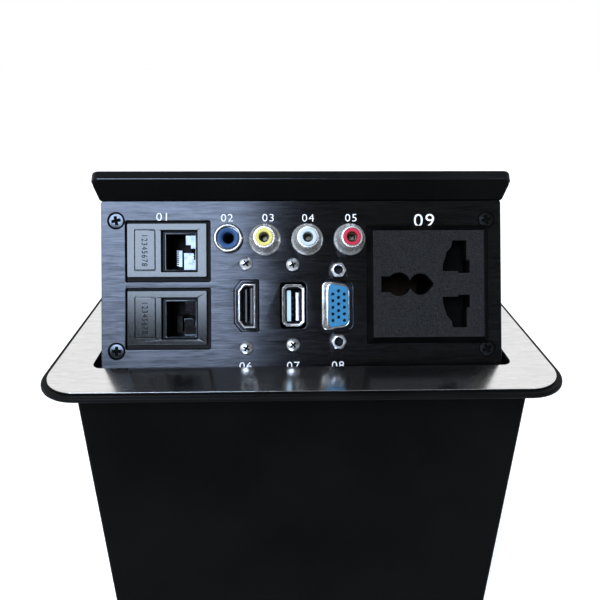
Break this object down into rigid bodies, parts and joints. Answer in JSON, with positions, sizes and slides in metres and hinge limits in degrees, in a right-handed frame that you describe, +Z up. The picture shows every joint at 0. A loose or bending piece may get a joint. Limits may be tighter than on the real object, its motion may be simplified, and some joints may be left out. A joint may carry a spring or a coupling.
{
  "type": "conference table socket panel",
  "caption": "Tilt-up socket panel for a table top: a framed box whose hinged lid carries a slanted black panel with network, audio, video, data and mains sockets.",
  "frame": {"origin": "centre of the opening on the table plane, at the underside of the rim", "axes": "+Z up, +X to the user's right, +Y away from the user; the slanted panel faces -Y"},
  "size_m": [0.1782, 0.1344, 0.1845],
  "materials": {
    "gloss_black": "gloss black moulding",
    "brushed_silver": "brushed, grain along X",
    "black_sheet": "matt black powder coat",
    "black_anodised": "black anodised, brushed along X",
    "zinc_steel": "bright zinc plated",
    "spring_steel": "plain spring steel",
    "black_screw": "black oxide",
    "black_rubber": "soft black rubber",
    "damper_plastic": "dark grey moulding",
    "white_nylon": "natural nylon",
    "black_plastic": "fine-grained black moulding",
    "socket_grey": "fine-grained dark grey moulding",
    "jack_black": "smooth black moulding",
    "gold_contact": "gold plated",
    "nickel": "bright nickel plate",
    "blue_plastic": "blue moulding",
    "yellow_plastic": "yellow moulding",
    "white_plastic": "white moulding",
    "red_plastic": "red moulding",
    "pale_blue_plastic": "pale blue moulding",
    "brass": "plain brass"
  },
  "bodies": {
    "housing": {"bezel_frame": "gloss_black", "face_plate": "brushed_silver", "housing": "black_sheet", "bottom_plate": "black_sheet", "bottom_screws": "black_screw", "bezel_screws": "black_screw", "bracket_screws": "black_screw", "damper_screws": "black_screw", "cable_grommets": "black_rubber", "earth_stud": "brass", "hinge_brackets": "black_plastic", "stop_bumpers": "black_rubber", "damper_body": "damper_plastic", "latch_body": "black_plastic", "latch_screws": "zinc_steel", "latch_spring": "spring_steel"},
    "lid": {"lid_plate": "black_anodised", "lid_nuts": "zinc_steel", "cradle": "black_sheet", "hinge_rod": "zinc_steel", "torsion_springs": "spring_steel", "damper_sector": "white_nylon", "latch_keeper": "zinc_steel", "socket_panel": "black_anodised", "panel_screws": "black_screw", "rear_cover": "black_plastic", "cover_screws": "black_screw", "upper_network_frame": "black_plastic", "lower_network_frame": "black_plastic", "upper_network_jack": "jack_black", "lower_network_jack": "jack_black", "network_contacts": "gold_contact", "audio_jack_barrel": "nickel", "audio_jack_insulator": "blue_plastic", "audio_jack_body": "jack_black", "yellow_phono_shell": "nickel", "yellow_phono_insulator": "yellow_plastic", "white_phono_shell": "nickel", "white_phono_insulator": "white_plastic", "red_phono_shell": "nickel", "red_phono_insulator": "red_plastic", "phono_contacts": "nickel", "phono_nuts": "nickel", "digital_video_collar": "black_plastic", "digital_video_shell": "nickel", "digital_video_tongue": "jack_black", "data_port_shell": "nickel", "data_port_tongue": "pale_blue_plastic", "fifteen_pin_shell": "nickel", "fifteen_pin_insert": "blue_plastic", "jack_posts": "nickel", "port_screws": "nickel", "mains_cover": "socket_grey", "mains_body": "socket_grey", "mains_contacts": "brass", "shutter_spring": "spring_steel"},
    "pinion": {"damper_pinion": "white_nylon"},
    "plunger": {"latch_plunger": "white_nylon"},
    "shutter": {"mains_shutter": "socket_grey"}
  },
  "joints": [
    {"name": "lid_tilt", "type": "hinge", "parent": "housing", "child": "lid", "pos_m": [0, 0.0465, -0.0019], "axis": [1, 0, 0], "range_deg": [0, 42.7], "stiffness_Nm_per_rad": 0.4, "springref_deg": -85.94, "deforming": ["torsion_springs"]},
    {"name": "damper_turn", "type": "hinge", "parent": "housing", "child": "pinion", "pos_m": [0, 0.03273, -0.02156], "axis": [1, 0, 0], "range_deg": [-172, 0]},
    {"name": "latch_press", "type": "slide", "parent": "housing", "child": "plunger", "axis": [0, 0, -1], "range_m": [0, 0.004], "stiffness_N_per_m": 300, "springref_m": -0.01, "deforming": ["latch_spring"]},
    {"name": "shutter_slide", "type": "slide", "parent": "lid", "child": "shutter", "axis": [1, 0, 0], "range_m": [0, 0.0068], "stiffness_N_per_m": 60, "springref_m": -0.006, "deforming": ["shutter_spring"]}
  ],
  "couplings": [
    {"joint": "damper_turn", "follows": "lid_tilt", "ratio": -4}
  ]
}
